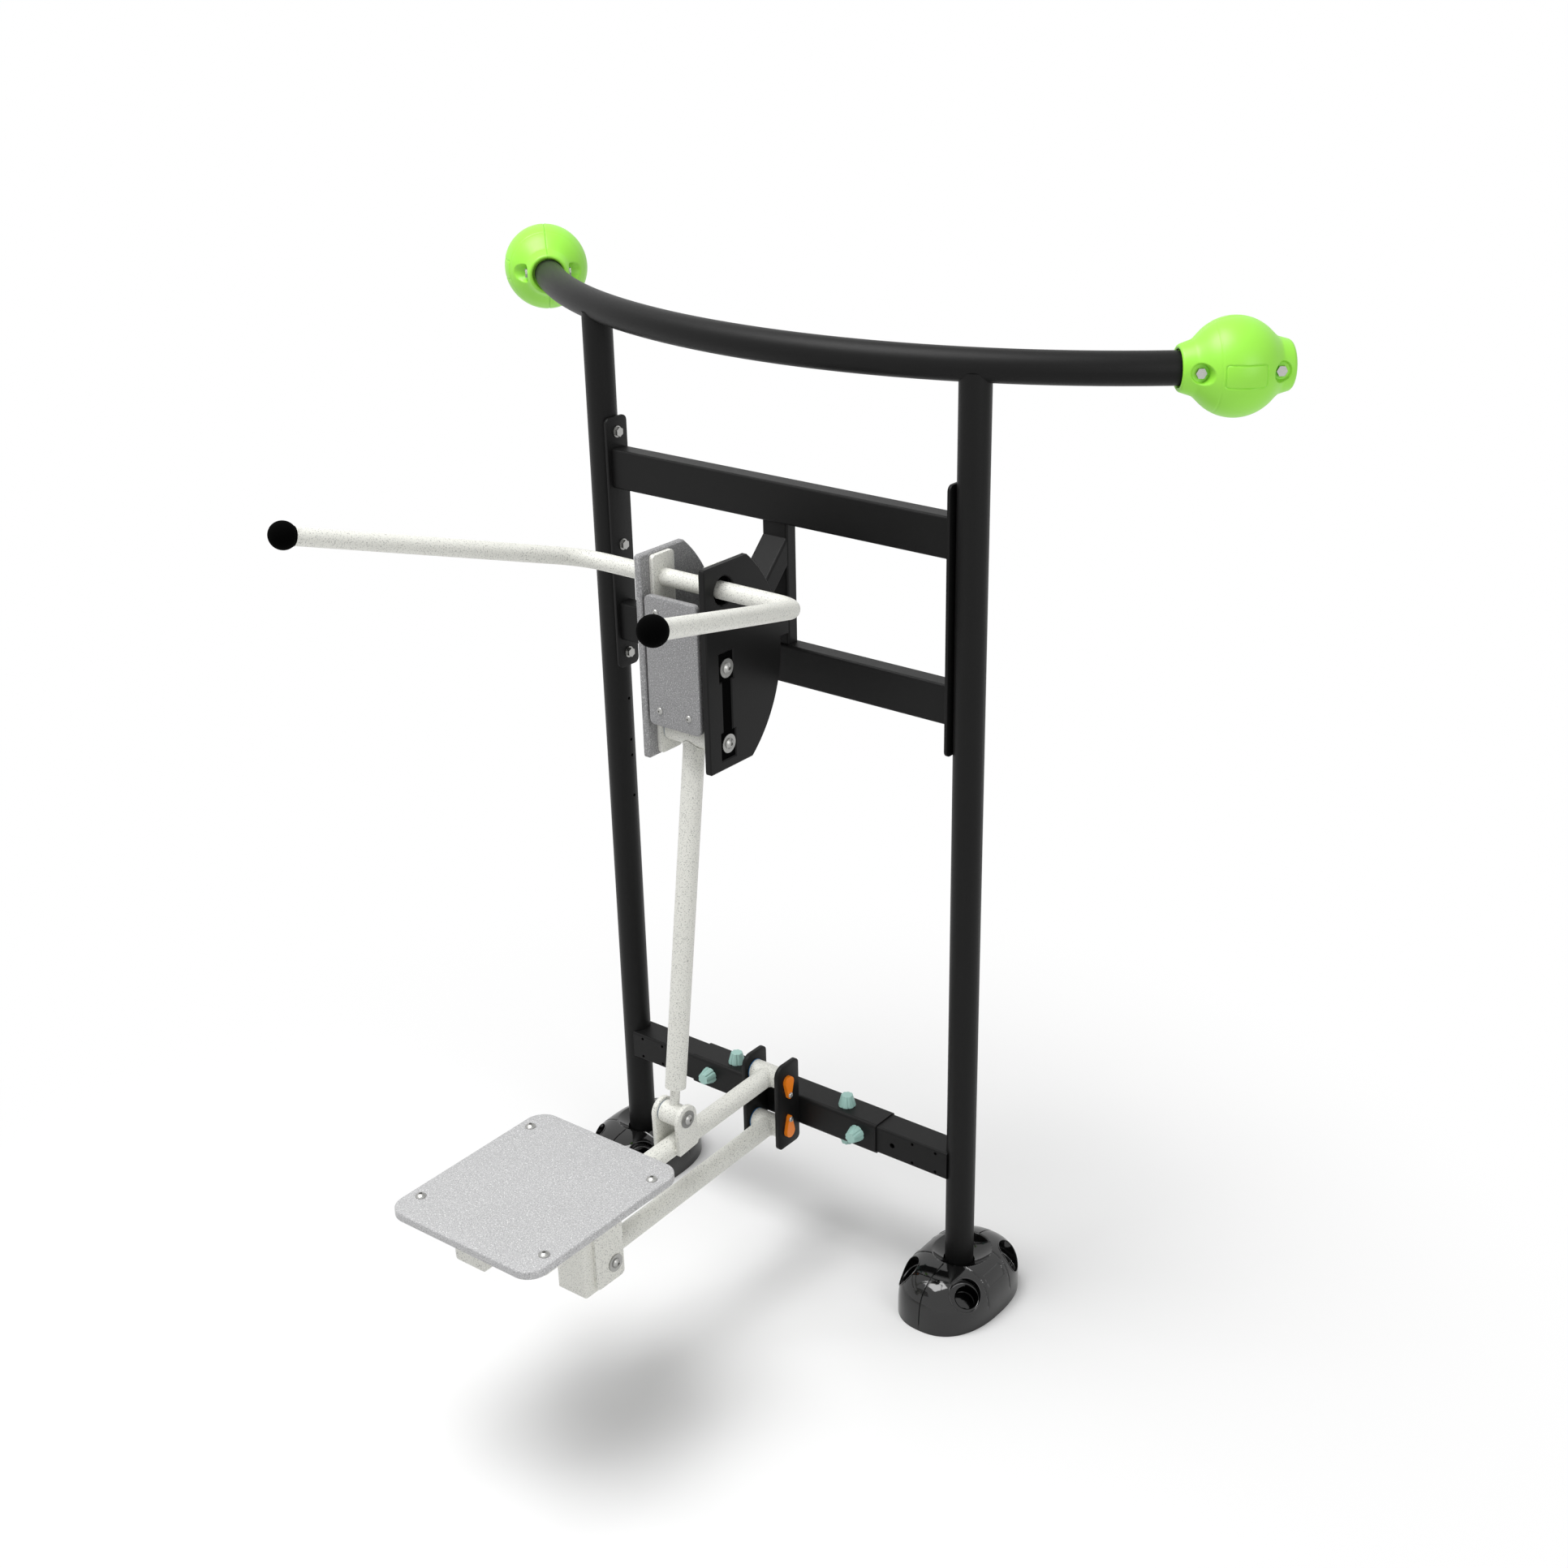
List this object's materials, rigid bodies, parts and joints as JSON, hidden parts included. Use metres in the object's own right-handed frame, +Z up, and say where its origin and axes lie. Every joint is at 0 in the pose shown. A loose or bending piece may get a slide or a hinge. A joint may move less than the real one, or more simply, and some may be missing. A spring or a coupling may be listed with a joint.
{
  "type": "outdoor lat pulldown machine",
  "caption": "Outdoor pull-down trainer: two posts with a bowed top rail, a rocking lever with a bent handlebar, and a tie rod that lifts a footplate on parallel arms.",
  "frame": {"origin": "on the ground, midway between the two posts, at the middle of the anchor patterns", "axes": "+X to the right, +Y to the back, away from the user, +Z up"},
  "size_m": [1.8278, 1.3283, 2.071],
  "materials": {
    "black_paint": "semi-gloss powder coat",
    "cream_paint": "speckled textured powder coat",
    "black_gloss_plastic": "glossy moulded plastic",
    "black_matte_plastic": "plain matte",
    "grey_panel": "speckled grained sheet",
    "lime_plastic": "moulded plastic",
    "stainless": "satin stainless steel",
    "blue_bush": "plain bearing plastic",
    "mint_plastic": "moulded plastic",
    "orange_plastic": "moulded plastic"
  },
  "bodies": {
    "frame": {"post_left": "black_paint", "post_right": "black_paint", "top_rail": "black_paint", "base_plate_left": "black_paint", "base_plate_right": "black_paint", "foot_cover_left_outer": "black_gloss_plastic", "foot_cover_left_inner": "black_gloss_plastic", "foot_cover_right_outer": "black_gloss_plastic", "foot_cover_right_inner": "black_gloss_plastic", "knob_left_front": "lime_plastic", "knob_left_back": "lime_plastic", "knob_right_front": "lime_plastic", "knob_right_back": "lime_plastic", "knob_bolts": "stainless", "flange_plates": "black_paint", "flange_bolts": "stainless", "crossbar_upper": "black_paint", "crossbar_lower": "black_paint", "centre_upright": "black_paint", "brace": "black_paint", "pivot_stub": "black_paint", "pivot_hub": "black_paint", "hub_bushes": "blue_bush", "bottom_bar_left": "black_paint", "bottom_bar_right": "black_paint", "clamp_sleeve": "black_paint", "clamp_bolts": "stainless", "bolt_caps": "mint_plastic", "bearing_plates": "black_paint", "bearing_caps": "orange_plastic", "bearing_cap_screws": "stainless", "arm_axles": "stainless"},
    "lever": {"lever_plates": "cream_paint", "handlebar": "cream_paint", "handle_balls": "black_matte_plastic", "cheek_left": "grey_panel", "cheek_right": "black_gloss_plastic", "cheek_inserts": "black_matte_plastic", "cheek_screws": "stainless", "cover_rails": "cream_paint", "front_cover": "grey_panel", "cover_screws": "stainless", "pivot_axle": "stainless", "lever_screws": "stainless"},
    "upper_arm": {"upper_arm": "cream_paint", "upper_arm_bushes": "blue_bush", "clevis_plates": "cream_paint", "clevis_pin": "stainless"},
    "tie_rod": {"tie_rod": "cream_paint", "rod_top_axle": "stainless", "rod_bushes": "blue_bush", "rod_eye": "cream_paint"},
    "lower_arm": {"lower_arm": "cream_paint", "lower_arm_bushes": "blue_bush"},
    "footplate": {"footplate_panel": "grey_panel", "footplate_screws": "stainless", "footplate_beam": "cream_paint", "footplate_post": "cream_paint", "footplate_side_plates": "cream_paint", "footplate_pins": "stainless"}
  },
  "joints": [
    {"name": "lever_pivot", "type": "hinge", "parent": "frame", "child": "lever", "pos_m": [0, -0.27, 1.4285], "axis": [1, 0, 0], "range_deg": [0, 45]},
    {"name": "upper_arm_pivot", "type": "hinge", "parent": "frame", "child": "upper_arm", "pos_m": [0, -0.075, 0.4285], "axis": [-1, 0, 0], "range_deg": [0, 11.77]},
    {"name": "lower_arm_pivot", "type": "hinge", "parent": "frame", "child": "lower_arm", "pos_m": [0, -0.075, 0.306], "axis": [-1, 0, 0], "range_deg": [0, 11.77]},
    {"name": "footplate_pivot", "type": "hinge", "parent": "upper_arm", "child": "footplate", "pos_m": [0, -0.6247, 0.41026], "axis": [1, 0, 0], "range_deg": [0, 11.77]},
    {"name": "rod_pivot", "type": "hinge", "parent": "upper_arm", "child": "tie_rod", "pos_m": [0, -0.38197, 0.48895], "axis": [1, 0, 0], "range_deg": [0, 5.37]}
  ],
  "couplings": [
    {"joint": "lever_pivot", "follows": "upper_arm_pivot", "ratio": 3.8241},
    {"joint": "lower_arm_pivot", "follows": "upper_arm_pivot", "ratio": 1},
    {"joint": "footplate_pivot", "follows": "upper_arm_pivot", "ratio": 1},
    {"joint": "rod_pivot", "follows": "upper_arm_pivot", "ratio": 0.4563}
  ]
}
